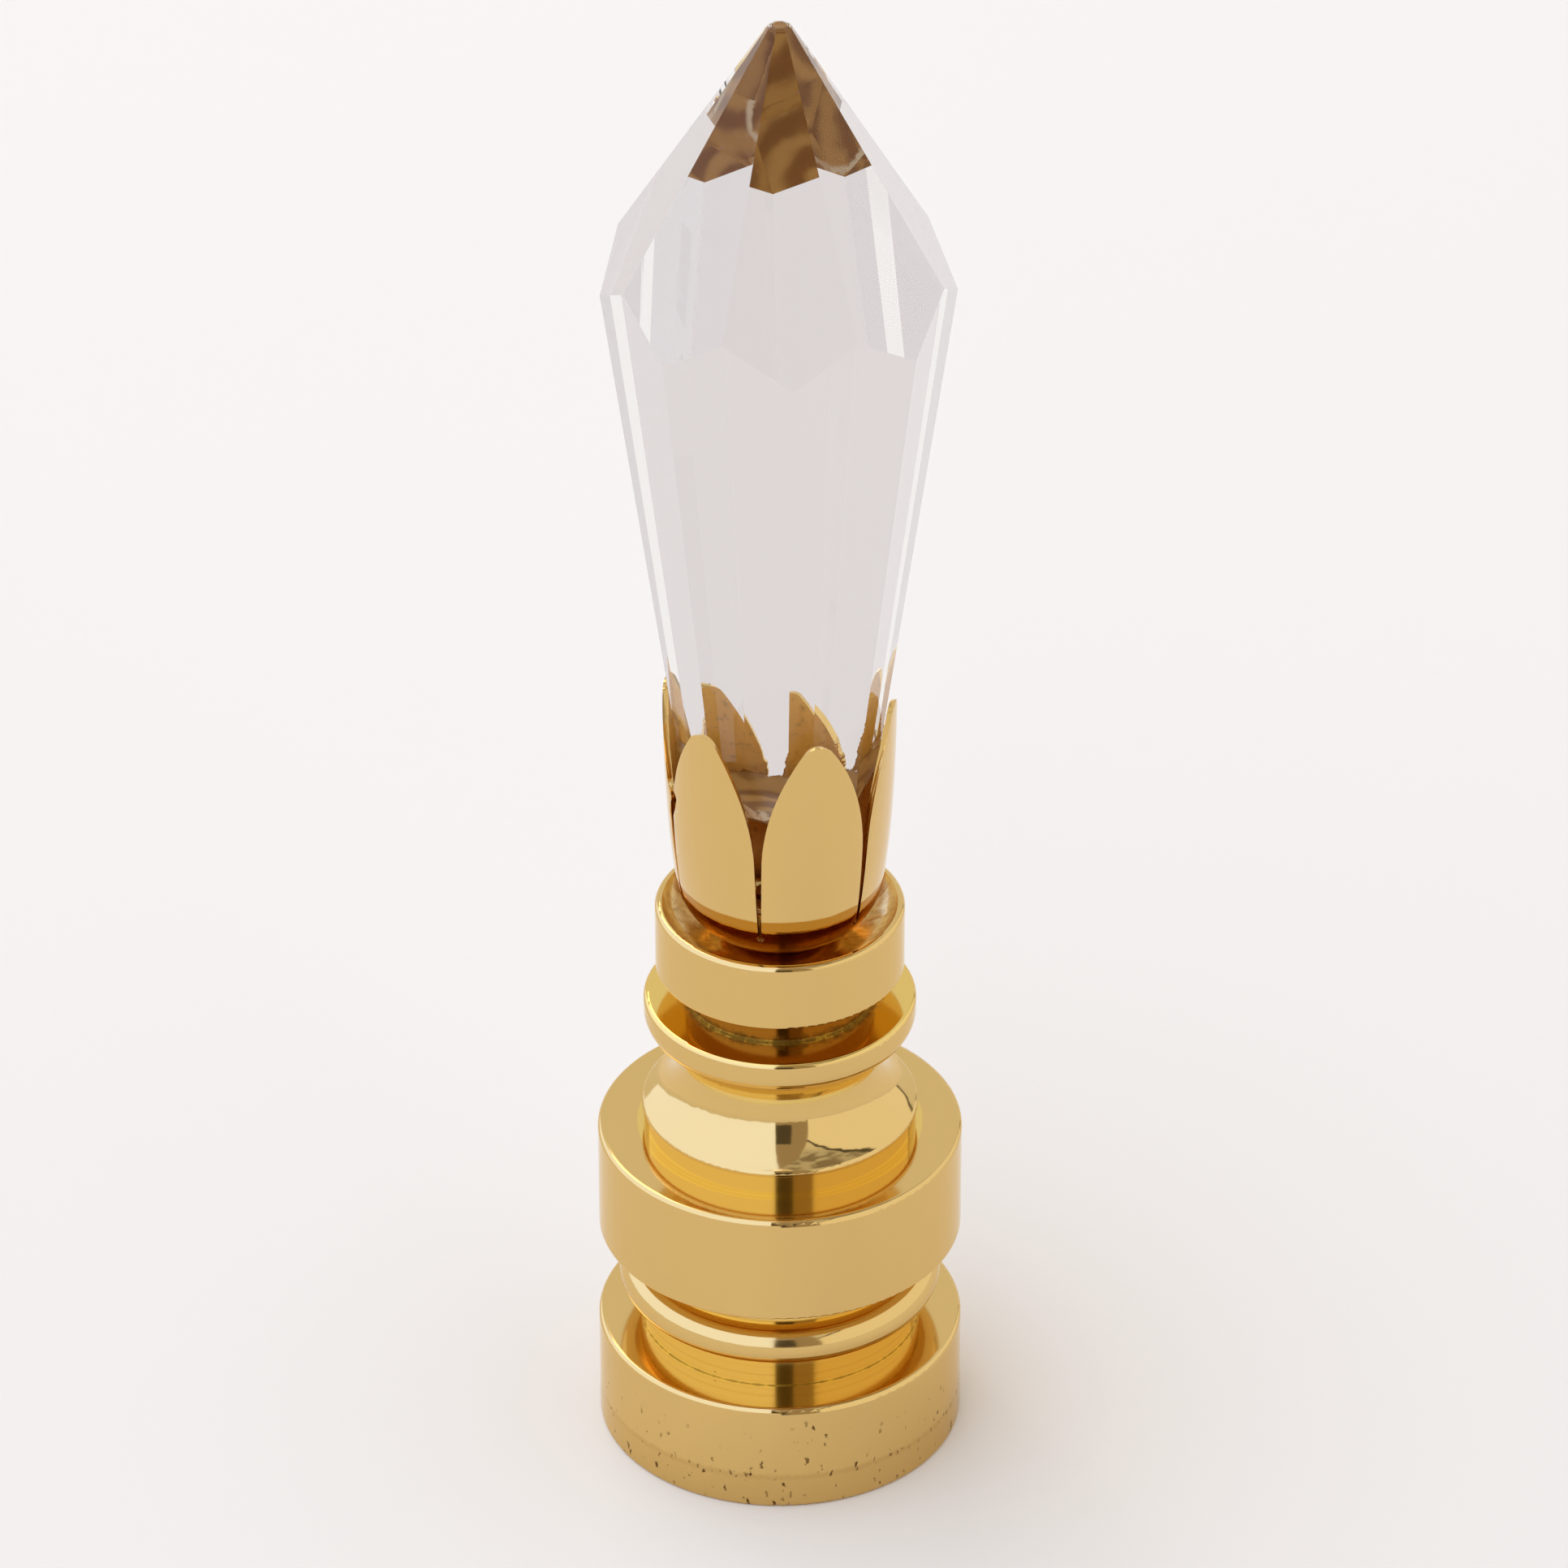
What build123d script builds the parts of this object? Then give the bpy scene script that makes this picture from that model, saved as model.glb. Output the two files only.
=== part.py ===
import os
from math import acos, atan2, cos, degrees, pi, radians, sin, tan

from build123d import *

os.makedirs("parts", exist_ok=True)

# Driving dimensions of the turned base, in millimetres, from the foot up
foot_radius = 9.5
foot_height = 6.2
low_neck_radius = 7.3
low_neck_height = 5.7
bead_section_radius = 1.1
bead_rise = 2.8
drum_radius = 9.45
drum_height = 6.1
step_radius = 7.05
step_height = 1.2
bell_radius = 7.15
bell_lip = 0.3
bell_height = 2.9
neck_radius = 5.2
neck_height = 1.6
flange_radius = 7.02
flange_height = 2.0
collar_radius = 4.88
collar_height = 1.8
dish_radius = 6.4
dish_height = 3.7
dish_depth = 1.4
dish_land = 0.36
seat_radius = 3.9

# Broken and rounded edges of the base
foot_edge = 0.2
rim_edge = 0.28
fine_edge = 0.15
lip_edge = 0.06
lip_crest = 0.2
flange_under_edge = 1.1
flange_under_land = 0.12

# How near a circular edge has to lie to be the one that is asked for
edge_match = 1e-4

# Harp thread in the foot, 1/4 inch by 27 to the inch, as its plain bore
thread_radius = 3.175
thread_depth = 12.7
thread_mouth = 0.5
drill_point_angle = 118

# Screw that holds the cup on the dish
screw_radius = 1.25
screw_length = 6.0
screw_head_radius = 1.75
screw_head_height = 1.3
screw_slot_width = 0.5
screw_slot_depth = 0.6
screw_head_round = 0.3
screw_end_bevel = 0.3
screw_clearance = 0.05
screw_end_room = 0.6

# Petal cup, stamped from sheet
petal_count = 6
sheet = 0.3
cup_height = 14.0
cup_floor_radius = 4.85
cup_bowl_radius = 3.6
gap_azimuth = -11.2
slit_foot = 2.3
slit_foot_width = 0.16
slit_relief_radius = 0.22
petal_waist = 6.6
slit_waist_width = 0.36
petal_tip_round = 0.7
petal_tip_land = 0.1
petal_trim = 0.6

# Cut crystal
flank_count = 8
crown_count = 8
crystal_foot = 8.4
crystal_foot_radius = 4.8
crystal_foot_bevel = 0.7
girdle_rise = 28.5
girdle_radius = 8.8
crown_height = 14.7
crown_lean = 1.5
crown_lean_azimuth = 200
crown_tip_radius = 0.55
crown_tip_round = 0.3
crystal_azimuth = 4.5
crystal_clearance = 0.04

# Heights and fits that follow from the sizes above
drum_low = foot_height + low_neck_height
drum_top = drum_low + drum_height
bell_low = drum_top + step_height
bell_rim = bell_low + bell_lip
bell_top = bell_rim + bell_height
flange_low = bell_top + neck_height
flange_top = flange_low + flange_height
dish_low = flange_top + collar_height
dish_top = dish_low + dish_height
seat = dish_top - dish_depth
bead_middle = foot_height + bead_rise
cove_radius = flange_radius - flange_under_edge - flange_under_land
cup_inside = seat + sheet
screw_hole_radius = screw_radius + screw_clearance
screw_hole_depth = screw_length - sheet + screw_end_room
cup_top = seat + cup_height
crystal_low = seat + crystal_foot
girdle = crystal_low + girdle_rise
crystal_top = girdle + crown_height

# The petals close on the flanks of the crystal at their tips
flank_slope = (girdle_radius - crystal_foot_radius) / girdle_rise
crystal_at_tips = crystal_foot_radius + flank_slope * (cup_top - crystal_low)
petal_tip_radius = crystal_at_tips + crystal_clearance + sheet


def ring_edges(part, radius, height):
    """Circular edges of a turned part at one radius and height."""
    found = ShapeList()
    for edge in part.edges().filter_by(GeomType.CIRCLE):
        near_radius = abs(edge.radius - radius) < edge_match
        near_height = abs(edge.center(CenterOf.BOUNDING_BOX).Z - height) < edge_match
        if near_radius and near_height:
            found.append(edge)
    return found


def drill_point(radius):
    """Length of the cone that a drill of this radius leaves."""
    half_angle = radians(drill_point_angle / 2)
    return radius * cos(half_angle) / sin(half_angle)


# Turned base: one lathe profile, revolved, then its rims rounded and its holes drilled
with BuildPart() as turned_base:
    with BuildSketch(Plane.XZ):
        with BuildLine():
            Polyline(
                (0, 0),
                (foot_radius, 0),
                (foot_radius, foot_height),
                (low_neck_radius, foot_height),
                (low_neck_radius, bead_middle - bead_section_radius),
            )
            ThreePointArc(
                (low_neck_radius, bead_middle - bead_section_radius),
                (low_neck_radius + bead_section_radius, bead_middle),
                (low_neck_radius, bead_middle + bead_section_radius),
            )
            Polyline(
                (low_neck_radius, bead_middle + bead_section_radius),
                (low_neck_radius, drum_low),
                (drum_radius, drum_low),
                (drum_radius, drum_top),
                (step_radius, drum_top),
                (step_radius, bell_low),
                (bell_radius, bell_low),
                (bell_radius, bell_rim),
            )
            TangentArc(
                (neck_radius, bell_top),
                (bell_radius, bell_rim),
                tangent=(0, -1),
            )
            TangentArc(
                (neck_radius, bell_top),
                (cove_radius, flange_low),
                tangent=(0, 1),
            )
            Polyline(
                (cove_radius, flange_low),
                (flange_radius, flange_low),
                (flange_radius, flange_top),
                (collar_radius, flange_top),
                (collar_radius, dish_low),
                (dish_radius, dish_low),
                (dish_radius, dish_top),
                (dish_radius - dish_land, dish_top),
            )
            TangentArc(
                (seat_radius, seat),
                (dish_radius - dish_land, dish_top),
                tangent=(1, 0),
            )
            Polyline((seat_radius, seat), (0, seat), (0, 0))
        make_face()
    revolve(axis=Axis.Z)
    fillet(ring_edges(turned_base, flange_radius, flange_low), flange_under_edge)
    fillet(ring_edges(turned_base, foot_radius, 0), foot_edge)
    for rim_radius, rim_height in (
        (foot_radius, foot_height),
        (drum_radius, drum_top),
        (flange_radius, flange_top),
        (dish_radius, dish_top),
    ):
        fillet(ring_edges(turned_base, rim_radius, rim_height), rim_edge)
    for rim_radius, rim_height in ((drum_radius, drum_low), (dish_radius, dish_low)):
        fillet(ring_edges(turned_base, rim_radius, rim_height), fine_edge)
    fillet(ring_edges(turned_base, bell_radius, bell_low), lip_edge)
    fillet(ring_edges(turned_base, bell_radius, bell_rim), lip_crest)

    # Tapped hole for the harp, from below
    with Locations(Plane.XY.rotated((180, 0, 0))):
        Hole(thread_radius, depth=thread_depth)
    with Locations((0, 0, thread_depth + drill_point(thread_radius) / 2)):
        Cone(thread_radius, 0, drill_point(thread_radius), mode=Mode.SUBTRACT)
    chamfer(ring_edges(turned_base, thread_radius, 0), thread_mouth)

    # Tapped hole for the cup screw, from above
    with Locations((0, 0, seat)):
        Hole(screw_hole_radius, depth=screw_hole_depth)
turned_base.part.label = "turned_base"
export_step(turned_base.part, "parts/turned_base.step")

# Petal cup: a revolved shell, vertical at the tips, slit into leaf-shaped petals
gap_planes = []
for index in range(petal_count):
    azimuth = radians(gap_azimuth + index * 360 / petal_count - 90)
    outward = (cos(azimuth), sin(azimuth), 0)
    sideways = (-sin(azimuth), cos(azimuth), 0)
    gap_planes.append(Plane((0, 0, seat), x_dir=sideways, z_dir=outward))

# Each side of a gap is one long arc that runs into the round of the petal's tip
slit_foot_half = slit_foot_width / 2
waist_half = slit_waist_width / 2
tip_middle = petal_tip_radius * sin(pi / petal_count)
leaf_lean = tip_middle - petal_tip_land - waist_half
leaf_rise = cup_height - petal_tip_round - petal_waist
leaf_reach = leaf_lean**2 + leaf_rise**2 - petal_tip_round**2
leaf_radius = leaf_reach / (2 * (leaf_lean - petal_tip_round))
leaf_sweep = degrees(acos((leaf_radius - leaf_lean) / (leaf_radius - petal_tip_round)))
gap_half = tip_middle + petal_tip_land
gap_top = cup_height + 2 * petal_trim

# The wall leaves the round of the bowl leaning outward and comes upright at the tips
wall_height = cup_height + petal_trim
wall_lean = 2 * atan2(petal_tip_radius - cup_floor_radius, wall_height)
wall_top = seat + wall_height
bowl_turn = pi / 2 - wall_lean
bowl_start = cup_floor_radius - cup_bowl_radius * tan(bowl_turn / 2)

with BuildPart() as petal_cup:
    with BuildSketch(Plane.XZ):
        with BuildLine():
            skin_ends = []
            for skin in (0, sheet):
                floor = Line((screw_hole_radius, seat + skin), (bowl_start, seat + skin))
                bowl = JernArc(
                    floor @ 1, (1, 0), cup_bowl_radius - skin, degrees(bowl_turn)
                )
                upright = petal_tip_radius - skin
                knee = (bowl @ 1).Y + (upright - (bowl @ 1).X) / tan(wall_lean)
                wall = Bezier(bowl @ 1, (upright, knee), (upright, wall_top))
                skin_ends.append((floor @ 0, wall @ 1))
            for low_end, high_end in zip(*skin_ends):
                Line(low_end, high_end)
        make_face()
    revolve(axis=Axis.Z)
    for gap_plane in gap_planes:
        with BuildSketch(gap_plane):
            with BuildLine():
                Polyline(
                    (0, slit_foot),
                    (slit_foot_half, slit_foot),
                    (waist_half, petal_waist),
                )
                leaf = JernArc((waist_half, petal_waist), (0, 1), leaf_radius, -leaf_sweep)
                tip = JernArc(leaf @ 1, leaf % 1, petal_tip_round, leaf_sweep - 90)
                Polyline(tip @ 1, (gap_half, cup_height), (gap_half, gap_top), (0, gap_top))
                mirror(about=Plane.YZ)
            make_face()
            with Locations((0, slit_foot)):
                Circle(slit_relief_radius)
        extrude(amount=2 * petal_tip_radius, mode=Mode.SUBTRACT)
petal_cup.part.label = "petal_cup"
export_step(petal_cup.part, "parts/petal_cup.step")

# Cup screw: slotted cheese head on the floor of the cup
with BuildPart() as cup_screw:
    with BuildSketch(Plane.XY.offset(cup_inside)):
        Circle(screw_head_radius)
    extrude(amount=screw_head_height)
    head_rim = cup_screw.edges().filter_by(GeomType.CIRCLE).sort_by(Axis.Z)[-1]
    fillet(head_rim, screw_head_round)
    with BuildSketch(Plane.XY.offset(cup_inside)):
        Circle(screw_radius)
    extrude(amount=-screw_length)
    screw_end = cup_screw.edges().filter_by(GeomType.CIRCLE).sort_by(Axis.Z)[0]
    chamfer(screw_end, screw_end_bevel)
    with BuildSketch(Plane.XY.offset(cup_inside + screw_head_height)):
        Rectangle(3 * screw_head_radius, screw_slot_width)
    extrude(amount=-screw_slot_depth, mode=Mode.SUBTRACT)
cup_screw.part.label = "cup_screw"
export_step(cup_screw.part, "parts/cup_screw.step")

# Crystal: long flanks lofted to the girdle, then the crown facets cut across them.
# The crown is ground a little off the axis, so the girdle is higher at the back.
crystal_turn = crystal_azimuth - 90
crown_turn = crystal_turn + 180 / crown_count
crown_corner = girdle_radius / cos(pi / crown_count)
crown_spread = (crown_corner - crown_tip_radius) / crown_height
flank_top = crystal_top + crown_tip_radius
flank_top_radius = girdle_radius + flank_slope * (flank_top - girdle)
crown_reach = crystal_top - seat
crown_foot_radius = crown_tip_radius + crown_spread * crown_reach
lean_turn = radians(crown_lean_azimuth - 90)
lean_run = sin(radians(crown_lean))
crown_axis = (-lean_run * cos(lean_turn), -lean_run * sin(lean_turn), cos(radians(crown_lean)))
crown_plane = Plane((0, 0, crystal_top), x_dir=(1, 0, 0), z_dir=crown_axis)

with BuildPart() as crystal_drop:
    with BuildSketch(Plane.XY.offset(crystal_low)):
        RegularPolygon(crystal_foot_radius, flank_count, rotation=crystal_turn)
    with BuildSketch(Plane.XY.offset(flank_top)):
        RegularPolygon(flank_top_radius, flank_count, rotation=crystal_turn)
    loft(ruled=True)
    with BuildSketch(crown_plane.offset(-crown_reach)):
        RegularPolygon(crown_foot_radius, crown_count, rotation=crown_turn)
    with BuildSketch(crown_plane):
        RegularPolygon(crown_tip_radius, crown_count, rotation=crown_turn)
    loft(ruled=True, mode=Mode.INTERSECT)
    chamfer(crystal_drop.edges().group_by(Axis.Z)[0], crystal_foot_bevel)
    fillet(crystal_drop.faces().sort_by(Axis.Z)[-1].edges(), crown_tip_round)
crystal_drop.part.label = "crystal_drop"
export_step(crystal_drop.part, "parts/crystal_drop.step")
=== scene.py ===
import math

import bmesh
import bpy
from mathutils import Matrix, Vector, noise


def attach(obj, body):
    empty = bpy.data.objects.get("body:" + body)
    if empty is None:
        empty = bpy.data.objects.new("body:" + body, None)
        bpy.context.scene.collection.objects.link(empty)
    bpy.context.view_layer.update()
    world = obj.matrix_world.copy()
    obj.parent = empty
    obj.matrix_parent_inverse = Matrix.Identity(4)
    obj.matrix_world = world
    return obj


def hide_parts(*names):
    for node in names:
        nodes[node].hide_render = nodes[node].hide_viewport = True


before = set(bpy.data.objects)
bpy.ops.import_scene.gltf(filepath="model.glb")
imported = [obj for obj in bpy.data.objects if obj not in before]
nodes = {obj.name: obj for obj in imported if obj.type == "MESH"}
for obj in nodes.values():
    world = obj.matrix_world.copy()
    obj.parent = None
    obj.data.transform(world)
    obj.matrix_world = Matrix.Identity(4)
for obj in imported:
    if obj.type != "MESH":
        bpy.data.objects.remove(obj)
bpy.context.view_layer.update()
mm = 0.001  # sizes below are written in millimetres
print("frame loaded:", sorted(nodes))


class Wire:  # one shader socket; sums on wires become Math nodes, i0 is input 0
    def __init__(self, tree, socket=None):
        self.tree, self.socket = tree, socket

    def node(self, kind, settings=None, out=0, **inputs):
        made = self.tree.nodes.new(kind)
        for name, value in (settings or {}).items():
            setattr(made, name, value)
        for name, value in inputs.items():
            numbered = name[0] == "i" and name[1:].isdigit()
            key = int(name[1:]) if numbered else name.replace("_", " ")
            if isinstance(value, Wire):
                self.tree.links.new(value.socket, made.inputs[key])
            else:
                made.inputs[key].default_value = value
        return Wire(self.tree, made.outputs[out] if made.outputs else None)

    def math(self, operation, a, b=0.0):
        return self.node("ShaderNodeMath", {"operation": operation}, i0=a, i1=b)

    def __add__(self, other):
        return self.math("ADD", self, other)

    def __sub__(self, other):
        return self.math("SUBTRACT", self, other)

    def __rsub__(self, other):
        return self.math("SUBTRACT", other, self)

    def __mul__(self, other):
        return self.math("MULTIPLY", self, other)

    def __truediv__(self, other):
        return self.math("DIVIDE", self, other)

    __radd__, __rmul__ = __add__, __mul__


def newFinish(name):
    finish = bpy.data.materials.new(name)
    finish.use_nodes = True
    finish.node_tree.nodes.clear()
    return finish, Wire(finish.node_tree)


def closeFinish(wire, shader):
    wire.node("ShaderNodeOutputMaterial", Surface=shader)


def step(wire, value, low, high):  # 0 below low, 1 above high, smooth between
    return wire.node(
        "ShaderNodeMapRange", {"interpolation_type": "SMOOTHSTEP"},
        i0=value, i1=low, i2=high, i3=0.0, i4=1.0,
    )


def band(wire, value, low, high, soft):  # 1 between low and high
    above = step(wire, value, low - soft, low + soft)
    return above * (1 - step(wire, value, high - soft, high + soft))


def blendColour(wire, mask, first, second):
    return wire.node(
        "ShaderNodeMix", {"data_type": "RGBA"}, 2, i0=mask, i6=first, i7=second
    )


def places(wire):  # object coordinates in millimetres, with their height and radius
    point = wire.node("ShaderNodeTexCoord", out=3)
    scaled = wire.node("ShaderNodeVectorMath", {"operation": "SCALE"}, i0=point, Scale=1 / mm)
    flat = wire.node("ShaderNodeVectorMath", {"operation": "MULTIPLY"}, i0=scaled, i1=(1, 1, 0))
    radius = wire.node("ShaderNodeVectorMath", {"operation": "LENGTH"}, 1, i0=flat)
    height = wire.node("ShaderNodeSeparateXYZ", out=2, i0=scaled)
    return scaled, height, radius


def speckle(wire, point, size, share, spread):  # round specks in a share of the cells
    cells = {"voronoi_dimensions": "3D", "feature": "F1"}
    near = wire.node("ShaderNodeTexVoronoi", cells, 0, Vector=point, Scale=1 / size)
    tone = wire.node("ShaderNodeTexVoronoi", cells, 1, Vector=point, Scale=1 / size)
    chosen = wire.node("ShaderNodeSeparateColor", i0=tone)
    inside = 1 - step(wire, near, spread * 0.5, spread)
    return inside * step(wire, chosen, 1 - share, 1 - share + 0.05)


# brass: pale gold under clear lacquer, mirror polished outside, dull in the dish, with painted
# light in the grooves
brass = {
    "gold": (0.72, 0.485, 0.168, 1),
    "brown": (0.40, 0.19, 0.035, 1),
    # painted light: the groove gold is lighter than the gold, standing in for the brighter light
    # mirrored in the grooves
    "groove": (0.82, 0.575, 0.17, 1),
    "dish": (0.68, 0.485, 0.21, 1),
    "shadow": (0.30, 0.13, 0.022, 1),
    "pit": (0.16, 0.085, 0.025, 1),
    "grime": (0.10, 0.055, 0.016, 1),
    "edgeTone": (0.95, 0.86, 0.66, 1),
    "rough": 0.07,
    "roughDrift": 0.03,
    "dishRough": 0.1,
    "lacquer": 0.3,
    "lacquerRough": 0.03,
    "bump": 0.15,
    "bumpDepth": 0.03,
    "cloudScale": 0.35,
    "raggedScale": 2.4,
    "ringScale": 4.0,
    # cell size, share of the cells and spread of each kind of pit
    "pits": (0.62, 0.55, 0.2),
    "clusterPits": (0.34, 0.7, 0.32),
    "faintPits": (0.4, 0.4, 0.24),
    "strayPits": (1.6, 0.16, 0.06),
    "pitShape": (1, 1, 0.55),
    "pitBend": (0.4, 0.4, 0.4),
    "pitBendScale": 3.0,
    "pitFull": 2.0,
    "pitTop": 5.6,
    "dishFoot": 30.05,
    "dishRim": 6.0,
    "dishStain": (0.45, 0.62),
    "collar": (26.15, 27.75),
    "collarReach": 5.3,
    "footBand": 2.0,
    "cluster": (1.63, -9.36, 4.3),
    "clusterReach": 1.5,
    "grooves": ((6.1, 11.9), (17.9, 19.2), (22.4, 24.0), (25.9, 27.8)),
    "grooveReach": 7.35,
    "grooveStain": (0.56, 0.66),
    # height, radius, reach and strength of the dirt left in the inner corners
    "corners": ((26.0, 4.88, 0.5, 0.6), (6.2, 7.3, 0.10, 0.35), (7.9, 7.3, 0.08, 0.4)),
}


def baseBrass():
    finish, wire = newFinish("baseBrass")
    point, height, radius = places(wire)
    cloud = wire.node("ShaderNodeTexNoise", Vector=point, Scale=brass["cloudScale"], Detail=3.0)
    ragged = wire.node(
        "ShaderNodeTexNoise", Vector=point, Scale=brass["raggedScale"], Detail=6.0, Roughness=0.7
    )
    rings = wire.node(
        "ShaderNodeTexNoise", {"noise_dimensions": "1D"},
        W=height, Scale=brass["ringScale"], Detail=4.0,
    )
    groove = 0.0
    for low, high in brass["grooves"]:
        groove = band(wire, height, low, high, 0.1) + groove
    grime = 0.0
    for level, wall, reach, strength in brass["corners"]:
        rise = wire.math("ABSOLUTE", height - level)
        run = wire.math("ABSOLUTE", radius - wall)
        edge = (ragged - 0.5) * 3.0 * reach
        grime = grime + (1 - step(wire, rise + run - edge, 0.0, reach)) * strength
    grime = wire.math("MINIMUM", grime, 1.0)
    foot, rim = brass["dishFoot"], brass["dishRim"]
    inDish = step(wire, height, foot - 0.1, foot) * (1 - step(wire, radius, rim - 0.15, rim))
    low, high = brass["collar"]
    reach = brass["collarReach"]
    shaded = band(wire, height, low, high, 0.05) * (1 - step(wire, radius, reach - 0.2, reach))
    pitted = 1 - step(wire, height, brass["pitFull"], brass["pitTop"])
    bent = wire.node(
        "ShaderNodeTexNoise", out=1, Vector=point, Scale=brass["pitBendScale"], Detail=2.0
    )
    tall = wire.node(
        "ShaderNodeVectorMath", {"operation": "MULTIPLY"}, i0=point, i1=brass["pitShape"]
    )
    tall = wire.node(
        "ShaderNodeVectorMath", {"operation": "MULTIPLY_ADD"},
        i0=bent, i1=brass["pitBend"], i2=tall,
    )
    away = wire.node(
        "ShaderNodeVectorMath", {"operation": "DISTANCE"}, 1, i0=point, i1=brass["cluster"]
    )
    crowd = 1 - step(wire, away, 0.4 * brass["clusterReach"], brass["clusterReach"])
    edge = (ragged - 0.5) * 0.5
    line = brass["footBand"]
    belt = band(wire, height + edge, line - 0.25, line + 0.1, 0.1)
    worn = 1 - step(wire, height + edge, line - 0.1, line + 0.1)
    crowd = wire.math("MAXIMUM", crowd, belt * 0.8)
    dark = speckle(wire, tall, *brass["pits"]) * pitted
    dark = wire.math("MAXIMUM", dark, speckle(wire, tall, *brass["clusterPits"]) * crowd)
    dark = wire.math("MAXIMUM", dark, speckle(wire, tall, *brass["faintPits"]) * pitted * 0.6)
    dark = wire.math("MAXIMUM", dark, speckle(wire, point, *brass["strayPits"]))
    reach = brass["grooveReach"]
    inGroove = groove * (1 - step(wire, radius, reach, reach + 0.1))
    ringStain = inGroove * step(wire, rings, *brass["grooveStain"])
    dishStain = inDish * step(wire, ragged, *brass["dishStain"])
    # painted light: a lighter, yellower gold in the grooves and necks, so the light mirrored
    # between their walls comes out brighter
    tone = blendColour(wire, inGroove, brass["gold"], brass["groove"])
    tone = blendColour(wire, inDish, tone, brass["dish"])
    tone = blendColour(wire, shaded, tone, brass["shadow"])
    tone = blendColour(wire, ringStain * 0.15, tone, brass["brown"])
    tone = blendColour(wire, dishStain * 0.5, tone, brass["brown"])
    tone = blendColour(wire, worn * 0.15 + belt * 0.12, tone, brass["brown"])
    tone = blendColour(wire, dark, tone, brass["pit"])
    tone = blendColour(wire, grime, tone, brass["grime"])
    rough = worn * 0.06 + inDish * brass["dishRough"] + brass["rough"]
    rough = rough + (cloud - 0.5) * brass["roughDrift"] + groove * rings * 0.06
    rough = rough + wire.math("MAXIMUM", dark, grime) * 0.4
    relief = rings * groove * 0.5 - dark * 3.0 - grime - worn * ragged
    bump = wire.node(
        "ShaderNodeBump", Strength=brass["bump"], Distance=brass["bumpDepth"] * mm, Height=relief
    )
    bare = wire.math("MAXIMUM", wire.math("MAXIMUM", dark, grime), inGroove * 0.8)
    lacquer = (1 - bare) * brass["lacquer"]
    shader = wire.node(
        "ShaderNodeBsdfPrincipled",
        Base_Color=tone, Metallic=1.0, Roughness=rough, Normal=bump,
        Specular_Tint=brass["edgeTone"],
        Coat_Weight=lacquer, Coat_Roughness=brass["lacquerRough"],
    )
    closeFinish(wire, shader)
    return finish


# petal cup: the same gold outside, duller amber inside, and a painted reflection of the dish as an
# amber band on the bowl
cupSheet = {
    "edgeRound": 0.1,
    "edgeSteps": 3,
    "sharpAngle": 40,
    "flatAngle": 0.4,
    "shadeAngle": 50,
    "weld": 0.002,
    "wearReach": 1.3,
    "wearCuts": 6,
    "wearFineness": 5.0,
    "bump": 0.1,
    "cloudScale": 0.6,
    "stainScale": 2.2,
    "stain": (0.5, 0.9),
    "specks": (1.4, 0.2, 0.05),
    "insideFacing": (-0.75, -0.45),
    "inside": (1.0, 0.56, 0.11, 1),
    "insideRough": 0.32,
    "insideMetal": 0.25,
    "edgeTone": (1.0, 0.95, 0.88, 1),
    # painted reflection of the dish on the bowl: its amber and the heights of its band
    "bowl": (0.50, 0.22, 0.024, 1),
    "bowlBand": (32.45, 33.6),
}


def cupBrass():
    finish, wire = newFinish("cupBrass")
    point, height, radius = places(wire)
    normal = wire.node("ShaderNodeNewGeometry", out=1)
    flat = wire.node("ShaderNodeVectorMath", {"operation": "MULTIPLY"}, i0=point, i1=(1, 1, 0))
    outward = wire.node("ShaderNodeVectorMath", {"operation": "NORMALIZE"}, i0=flat)
    facing = wire.node(
        "ShaderNodeVectorMath", {"operation": "DOT_PRODUCT"}, 1, i0=normal, i1=outward
    )
    inner = 1 - step(wire, facing, *cupSheet["insideFacing"])
    cloud = wire.node("ShaderNodeTexNoise", Vector=point, Scale=cupSheet["cloudScale"], Detail=4.0)
    stain = wire.node("ShaderNodeTexNoise", Vector=point, Scale=cupSheet["stainScale"], Detail=5.0)
    specks = speckle(wire, point, *cupSheet["specks"])
    stained = step(wire, stain, *cupSheet["stain"])
    inside = blendColour(wire, stained, cupSheet["inside"], brass["brown"])
    # painted reflection: amber on the lower bowl up to a sharp line, in place of the dish mirrored
    # there; it goes all the way round
    low, high = cupSheet["bowlBand"]
    below = 1 - step(wire, height + (cloud - 0.5) * 0.2, high - 0.05, high + 0.05)
    dishReflection = below * step(wire, height, low - 0.15, low + 0.15)
    tone = blendColour(wire, dishReflection, brass["gold"], cupSheet["bowl"])
    tone = blendColour(wire, inner, tone, inside)
    tone = blendColour(wire, specks, tone, brass["pit"])
    rough = inner * (cupSheet["insideRough"] - brass["rough"]) + brass["rough"]
    rough = rough + (cloud - 0.5) * brass["roughDrift"]
    relief = cloud + stain * inner * 2.0 - specks
    bump = wire.node(
        "ShaderNodeBump", Strength=cupSheet["bump"], Distance=brass["bumpDepth"] * mm, Height=relief
    )
    lacquer = (1 - inner) * (1 - below) * brass["lacquer"]
    shader = wire.node(
        "ShaderNodeBsdfPrincipled",
        Base_Color=tone, Metallic=1 - inner * (1 - cupSheet["insideMetal"]),
        Roughness=rough, Normal=bump, Specular_Tint=cupSheet["edgeTone"],
        Coat_Weight=lacquer, Coat_Roughness=brass["lacquerRough"],
    )
    closeFinish(wire, shader)
    return finish


# cup screw and thread: plain brass, stained in clouds
screw = {"cloudScale": 1.5, "stain": (0.35, 0.75), "rough": 0.18, "roughDrift": 0.15}


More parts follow.
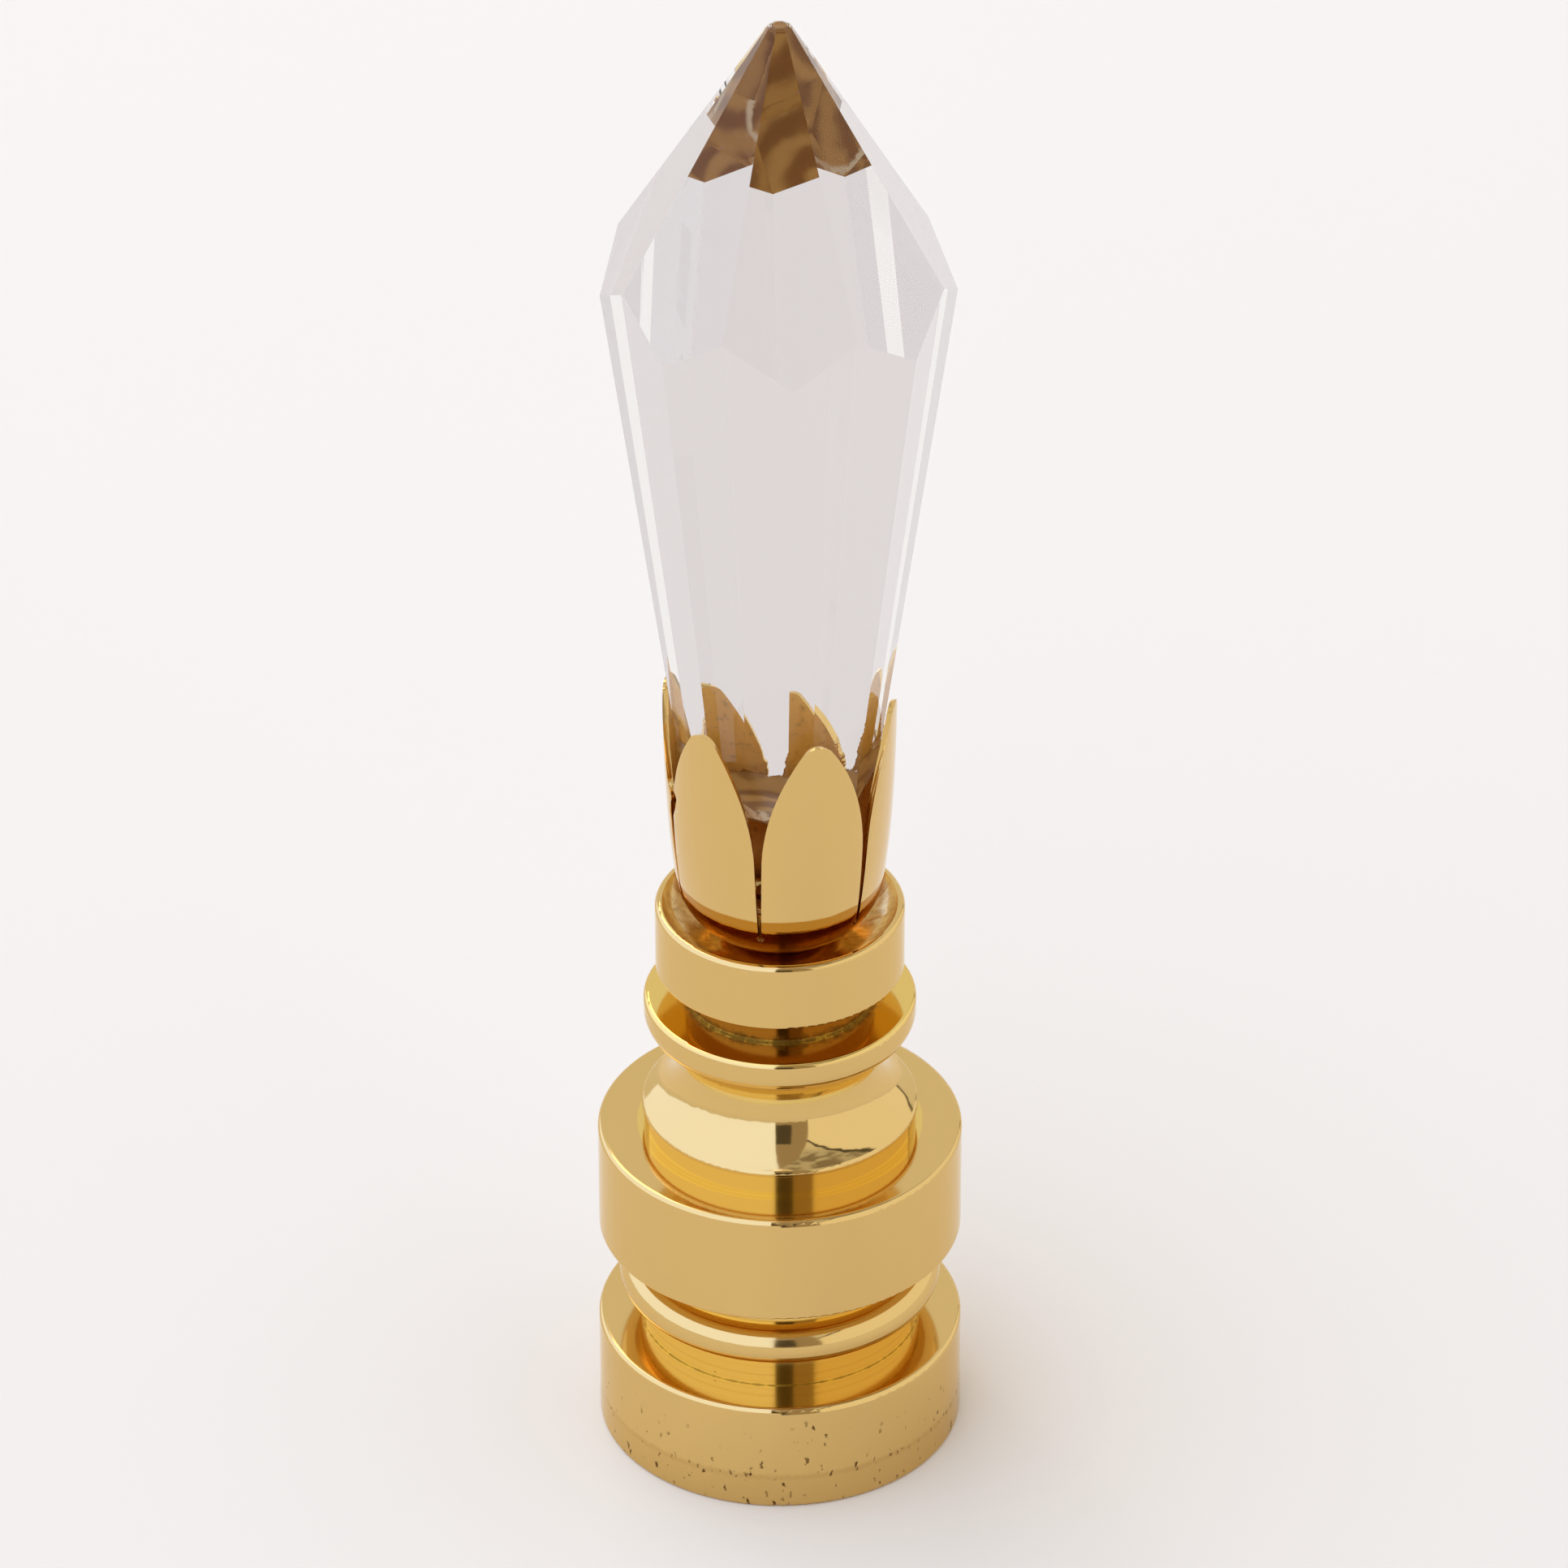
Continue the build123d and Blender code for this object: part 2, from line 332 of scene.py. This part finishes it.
def screwBrass():
    finish, wire = newFinish("screwBrass")
    point, height, radius = places(wire)
    cloud = wire.node("ShaderNodeTexNoise", Vector=point, Scale=screw["cloudScale"], Detail=4.0)
    tone = blendColour(wire, step(wire, cloud, *screw["stain"]), brass["gold"], brass["brown"])
    rough = cloud * screw["roughDrift"] + screw["rough"]
    shader = wire.node("ShaderNodeBsdfPrincipled", Base_Color=tone, Metallic=1.0, Roughness=rough)
    closeFinish(wire, shader)
    return finish


# crystal: clear glass, with amber cement on its foot and a painted glint at the front, a pale
# streak in place of the glints of its chipped end
crystal = {
    "index": 1.52,
    "tint": (0.96, 0.955, 0.95, 1),
    "shine": (0.22, 0.22, 0.22, 1),
    "foot": 38.5,
    "footBevel": 0.7,
    "cementDark": (0.34, 0.14, 0.03, 1),
    "cementPale": (0.64, 0.34, 0.095, 1),
    "cementRough": 0.4,
    "cementShine": 0.2,
    "grainScale": 0.8,
    "fineScale": 2.2,
    "ringPitch": 3.0,
    "ringBlend": (-0.6, 1.3),
    # painted glint: a pale streak standing in for the glints of the crystal's chipped end
    "glint": (0.88, 0.70, 0.48, 1),
    "glintTop": (-2.5, 40.6),
    "glintFall": 0.965,
    "glintRun": 2.4,
    "glintHalf": 0.24,
}


def crystalGlass():
    finish, wire = newFinish("crystalGlass")
    point, height, radius = places(wire)
    side, depth = [wire.node("ShaderNodeSeparateXYZ", out=k, i0=point) for k in range(2)]
    grain = wire.node("ShaderNodeTexNoise", Vector=point, Scale=crystal["grainScale"], Detail=4.0)
    fine = wire.node("ShaderNodeTexNoise", Vector=point, Scale=crystal["fineScale"], Detail=3.0)
    top = crystal["foot"] + crystal["footBevel"]
    bed = 1 - step(wire, height + (fine - 0.5) * 0.6, top, top + 0.1)
    ripple = wire.math("SINE", (radius + grain * 1.2) * crystal["ringPitch"]) + fine * 0.5
    pale = step(wire, ripple, *crystal["ringBlend"])
    cement = blendColour(wire, pale, crystal["cementDark"], crystal["cementPale"])
    # painted glint: a pale opaque streak across the front of the crystal's foot
    start, level = crystal["glintTop"]
    slant = height - level + (side - start) * crystal["glintFall"]
    half = crystal["glintHalf"]
    paintedGlint = band(wire, slant + (fine - 0.5) * 0.8, -half, half, 0.12)
    paintedGlint = paintedGlint * band(wire, side, start, start + crystal["glintRun"], 0.2)
    paintedGlint = paintedGlint * (1 - step(wire, depth, -1.0, 0.0))
    cement = blendColour(wire, paintedGlint, cement, crystal["glint"])
    glass = wire.node(
        "ShaderNodeBsdfPrincipled",
        Base_Color=crystal["tint"], Roughness=0.0, IOR=crystal["index"], Transmission_Weight=1.0,
        Specular_Tint=crystal["shine"],
    )
    bedding = wire.node(
        "ShaderNodeBsdfPrincipled",
        Base_Color=cement, Roughness=crystal["cementRough"],
        Specular_IOR_Level=crystal["cementShine"],
    )
    covered = wire.math("MAXIMUM", bed, paintedGlint)
    closeFinish(wire, wire.node("ShaderNodeMixShader", i0=covered, i1=glass, i2=bedding))
    return finish


def dress(piece, finish):
    piece.data.materials.clear()
    piece.data.materials.append(finish)


dress(nodes["turned_base"], baseBrass())
dress(nodes["cup_screw"], screwBrass())
dress(nodes["crystal_drop"], crystalGlass())
print("finishes made")


def sharpEdges(shape, limit):
    return [e for e in shape.edges if len(e.link_faces) == 2 and e.calc_face_angle() > limit]


# where a petal's edge is bitten or ragged: centre, half height, depth and raggedness
edgeWear = {
    "bite": ((-5.2, -2.45, 39.0), 0.62, 0.42, 0.0),
    "rightLeaf": ((5.5, 1.4, 40.6), 2.6, 0.0, 0.13),
    "backLeaf": ((1.6, 5.4, 39.8), 2.8, 0.0, 0.12),
}


def wearEdges(shape, limit):
    for centre, half, depth, grain in edgeWear.values():
        middle = Vector(centre) * mm
        reach = cupSheet["wearReach"] * mm

        def near(place):
            flat = (place.xy - middle.xy).length
            return flat < reach and abs(place.z - middle.z) < half * mm

        rim = [e for e in sharpEdges(shape, limit) if near((e.verts[0].co + e.verts[1].co) / 2)]
        bmesh.ops.subdivide_edges(shape, edges=rim, cuts=cupSheet["wearCuts"])
        across = Vector((-middle.y, middle.x, 0)).normalized()
        worn = {v for e in sharpEdges(shape, limit) for v in e.verts if near(v.co)}
        for vert in worn:
            run = (vert.co.z - middle.z) / (half * mm)
            fade = max(0.0, 1 - run * run)
            level = vert.co.z / mm * cupSheet["wearFineness"]
            rough = noise.noise(Vector((0, middle.x / mm, level)))
            radius = vert.co.xy.length
            vert.co += across * (depth * fade + grain * rough * min(1.0, 3 * fade)) * mm
            vert.co.xy *= radius / vert.co.xy.length


# the cup again, with its sheet edges rolled over as polishing leaves them
def roundedCup():
    shape = bmesh.new()
    shape.from_mesh(nodes["petal_cup"].data)
    bmesh.ops.remove_doubles(shape, verts=shape.verts, dist=cupSheet["weld"] * mm)
    bmesh.ops.dissolve_limit(
        shape,
        angle_limit=math.radians(cupSheet["flatAngle"]),
        verts=shape.verts,
        edges=shape.edges,
    )
    limit = math.radians(cupSheet["sharpAngle"])
    wearEdges(shape, limit)
    sharp = sharpEdges(shape, limit)
    bmesh.ops.bevel(
        shape,
        geom=sharp,
        offset=cupSheet["edgeRound"] * mm,
        offset_type="OFFSET",
        segments=cupSheet["edgeSteps"],
        profile=0.5,
        affect="EDGES",
        clamp_overlap=True,
        material=-1,
    )
    bmesh.ops.recalc_face_normals(shape, faces=shape.faces)
    for face in shape.faces:
        face.smooth = True
    mesh = bpy.data.meshes.new("petalCup")
    shape.to_mesh(mesh)
    shape.free()
    mesh.set_sharp_from_angle(angle=math.radians(cupSheet["shadeAngle"]))
    cup = bpy.data.objects.new("petalCup", mesh)
    bpy.context.collection.objects.link(cup)
    return cup


cup = roundedCup()
dress(cup, cupBrass())
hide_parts("petal_cup")
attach(cup, "root")
print("petal cup:", len(cup.data.polygons), "faces")


# thread in the foot, one helical ridge cut 27 to the inch
harpThread = {
    "majorRadius": 3.175,
    "ridge": 0.5,
    "sink": 0.05,
    "crestHalf": 0.07,
    "footShare": 0.46,
    "pitch": 25.4 / 27,
    "turns": 11,
    "start": 1.0,
    "stepsPerTurn": 48,
}


def threadRidge():
    shape = bmesh.new()
    root = harpThread["majorRadius"] + harpThread["sink"]
    crest = harpThread["majorRadius"] - harpThread["ridge"]
    half = harpThread["pitch"] * harpThread["footShare"]
    land = harpThread["crestHalf"]
    low = harpThread["start"]
    outline = [(root, low - half), (crest, low - land), (crest, low + land), (root, low + half)]
    verts = [shape.verts.new((r * mm, 0, z * mm)) for r, z in outline]
    edges = [shape.edges.new((a, b)) for a, b in zip(verts, verts[1:] + verts[:1])]
    shape.faces.new(verts)
    steps = harpThread["turns"] * harpThread["stepsPerTurn"]
    swept = bmesh.ops.spin(
        shape,
        geom=edges + verts,
        cent=(0, 0, 0),
        axis=(0, 0, 1),
        dvec=(0, 0, harpThread["pitch"] / harpThread["stepsPerTurn"] * mm),
        angle=harpThread["turns"] * 2 * math.pi,
        steps=steps,
        use_merge=False,
    )
    last = [g for g in swept["geom_last"] if isinstance(g, bmesh.types.BMEdge)]
    bmesh.ops.contextual_create(shape, geom=last)
    bmesh.ops.recalc_face_normals(shape, faces=shape.faces)
    mesh = bpy.data.meshes.new("harpThread")
    shape.to_mesh(mesh)
    shape.free()
    ridge = bpy.data.objects.new("harpThread", mesh)
    bpy.context.collection.objects.link(ridge)
    return ridge


ridge = threadRidge()
dress(ridge, screwBrass())
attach(ridge, "root")
print("thread:", len(ridge.data.polygons), "faces")

# studio: pale paper floor, one soft key, and a room with a window front left
studio = {
    "paper": (0.90, 0.845, 0.79, 1),
    "paperSide": 3.0,
    "plain": (0.913, 0.880, 0.855, 1),
    "paperInGlass": (0.72, 0.655, 0.615, 1),
    "plainInGlass": (0.92, 0.89, 0.87, 1),
    "keyPlace": (-0.16, 0.40, 0.56),
    "keyAim": (0, 0, 0.03),
    "keySide": 0.32,
    "keyPower": 0.5,
    "keyTone": (1.0, 0.93, 0.84),
}
# tones of the room, then its patches as turn from and to, rise from and to in degrees,
# and its right wall as nearest, furthest and top, in shares of its distance
room = {
    "back": (0.85, 0.85, 0.85, 1),
    "roof": (0.62, 0.62, 0.62, 1),
    "window": (1.27, 1.38, 1.58, 1),
    "windowInBrass": (1.24, 1.46, 2.2, 1),
    "right": (1.06, 1.06, 1.06, 1),
    "beam": (0.30, 0.27, 0.24, 1),
    "door": (0.42, 0.36, 0.30, 1),
    "camera": (0.10, 0.09, 0.08, 1),
    "roofRise": (48.0, 60.0),
    "beamRise": (56.0, 62.0),
    "windowPatch": (-148, -4, 3, 88),
    "doorPatch": (-4, 28, 2, 95),
    "cameraPatch": (-3.5, 11, 7, 44),
    "wall": (-1.9, 1.28, 1.55),
    "wallEdge": (-2.0, 1.36, 1.74),
    "waveScale": 9.0,
    "waveRise": 6.0,
    "waveWall": 0.3,
}


def flatPanel(name, width, depth, matrix):
    shape = bmesh.new()
    bmesh.ops.create_grid(shape, x_segments=1, y_segments=1, size=0.5)
    bmesh.ops.scale(shape, vec=(width, depth, 1), verts=shape.verts)
    bmesh.ops.transform(shape, matrix=matrix, verts=shape.verts)
    mesh = bpy.data.meshes.new(name)
    shape.to_mesh(mesh)
    shape.free()
    panel = bpy.data.objects.new(name, mesh)
    bpy.context.collection.objects.link(panel)
    return panel


def paperFinish():
    finish, wire = newFinish("paper")
    inGlass = wire.node("ShaderNodeLightPath", out=6)
    tone = blendColour(wire, inGlass, studio["paper"], studio["paperInGlass"])
    shader = wire.node(
        "ShaderNodeBsdfPrincipled", Base_Color=tone, Roughness=0.9, Specular_IOR_Level=0.0
    )
    closeFinish(wire, shader)
    return finish


paper = flatPanel("paper", studio["paperSide"], studio["paperSide"], Matrix())
dress(paper, paperFinish())


def roomLight():  # what the polished brass mirrors, seen from the finial
    world = bpy.data.worlds.new("room")
    world.use_nodes = True
    world.node_tree.nodes.clear()
    wire = Wire(world.node_tree)
    way = wire.node("ShaderNodeTexCoord", out=0)
    right, ahead, up = [wire.node("ShaderNodeSeparateXYZ", out=k, i0=way) for k in range(3)]
    wave = wire.node("ShaderNodeTexNoise", Vector=way, Scale=room["waveScale"], Detail=6.0) - 0.5
    turn = wire.math("DEGREES", wire.math("ARCTAN2", right, ahead * -1.0))
    rise = wire.math("DEGREES", wire.math("ARCSINE", up)) + wave * room["waveRise"]
    along = ahead / right
    tall = up / right + wave * room["waveWall"]

    def sideWall(front, back, top):
        inside = band(wire, along, front, back, 0.02)
        inside = inside * (1 - step(wire, tall, top - 0.02, top + 0.02))
        return inside * step(wire, right, 0.0, 0.01)

    def patch(left, end, low, high):
        return band(wire, turn, left, end, 0.6) * band(wire, rise, low, high, 0.6)

    tone = blendColour(wire, step(wire, rise, *room["roofRise"]), room["back"], room["roof"])
    shone = wire.node("ShaderNodeLightPath", out=3)
    window = blendColour(wire, shone, room["window"], room["windowInBrass"])
    tone = blendColour(wire, patch(*room["windowPatch"]), tone, window)
    dim = step(wire, rise, *room["beamRise"]) * step(wire, right, 0.0, 0.1)
    dim = dim * step(wire, wave, -0.08, 0.08)
    tone = blendColour(wire, dim, tone, room["beam"])
    tone = blendColour(wire, sideWall(*room["wallEdge"]), tone, room["camera"])
    tone = blendColour(wire, sideWall(*room["wall"]), tone, room["right"])
    tone = blendColour(wire, patch(*room["doorPatch"]), tone, room["door"])
    tone = blendColour(wire, patch(*room["cameraPatch"]), tone, room["camera"])
    inGlass = wire.node("ShaderNodeLightPath", out=6)
    tone = blendColour(wire, inGlass, tone, studio["plainInGlass"])
    seen = wire.node("ShaderNodeLightPath", out=0)
    tone = blendColour(wire, seen, tone, studio["plain"])
    light = wire.node("ShaderNodeBackground", Color=tone, Strength=1.0)
    wire.node("ShaderNodeOutputWorld", Surface=light)
    bpy.context.scene.world = world


roomLight()

keyLight = bpy.data.lights.new("key", "AREA")
keyLight.energy = studio["keyPower"]
keyLight.size = studio["keySide"]
keyLight.color = studio["keyTone"]
key = bpy.data.objects.new("key", keyLight)
bpy.context.collection.objects.link(key)
key.location = studio["keyPlace"]
keyWay = Vector(studio["keyAim"]) - key.location
key.rotation_euler = keyWay.to_track_quat("-Z", "Y").to_euler()

# camera, long lens, looking down on the finial from the front
view = {"place": (0.000212, -0.38254, 0.27994), "tilt": 57.745, "lens": 204.97, "sensor": 36}
lens = bpy.data.cameras.new("front")
lens.lens, lens.sensor_width = view["lens"], view["sensor"]
lens.clip_start, lens.clip_end = 0.01, 10
front = bpy.data.objects.new("front", lens)
bpy.context.collection.objects.link(front)
front.location = view["place"]
front.rotation_euler = (math.radians(view["tilt"]), 0, 0)
scene = bpy.context.scene
scene.camera = front
scene.view_settings.view_transform = "Standard"
scene.cycles.max_bounces = 24  # light crosses the cut glass and the cup many times
scene.cycles.transmission_bounces = 24
scene.cycles.glossy_bounces = 16
print("studio set")
